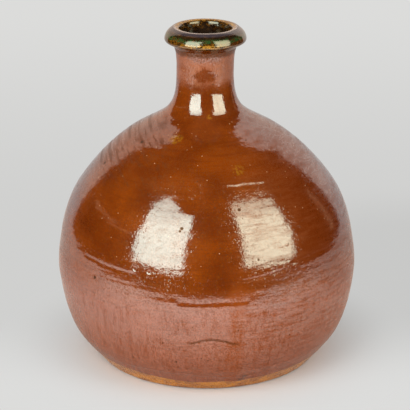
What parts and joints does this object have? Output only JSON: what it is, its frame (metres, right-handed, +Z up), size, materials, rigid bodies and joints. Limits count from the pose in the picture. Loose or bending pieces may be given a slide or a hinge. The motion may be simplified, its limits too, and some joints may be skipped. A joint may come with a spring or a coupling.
{
  "type": "stoneware bottle",
  "caption": "Round-bellied stoneware bottle with a narrow flared neck, a rolled collar and a glossy brown glaze, for holding liquid or stems.",
  "frame": {"origin": "centre of the foot, on the surface that the bottle stands on", "axes": "+Z up along the bottle's axis; it is round, so +X and +Y are alike, and the picture looks along +Y"},
  "size_m": [0.177, 0.177, 0.2],
  "materials": {
    "fired_clay": "unglazed, matt",
    "joining_slip": "unglazed, matt",
    "iron_glaze": "glossy orange-brown",
    "amber_glaze": "glossy golden amber, thin",
    "rim_glaze": "glossy green-amber",
    "liner_glaze": "glossy dark brown"
  },
  "bodies": {
    "root": {"thrown_belly": "fired_clay", "thrown_neck": "fired_clay", "luting_ring": "joining_slip", "body_glaze": "iron_glaze", "foot_glaze_band": "amber_glaze", "rim_glaze": "rim_glaze", "liner_glaze": "liner_glaze"}
  },
  "joints": []
}
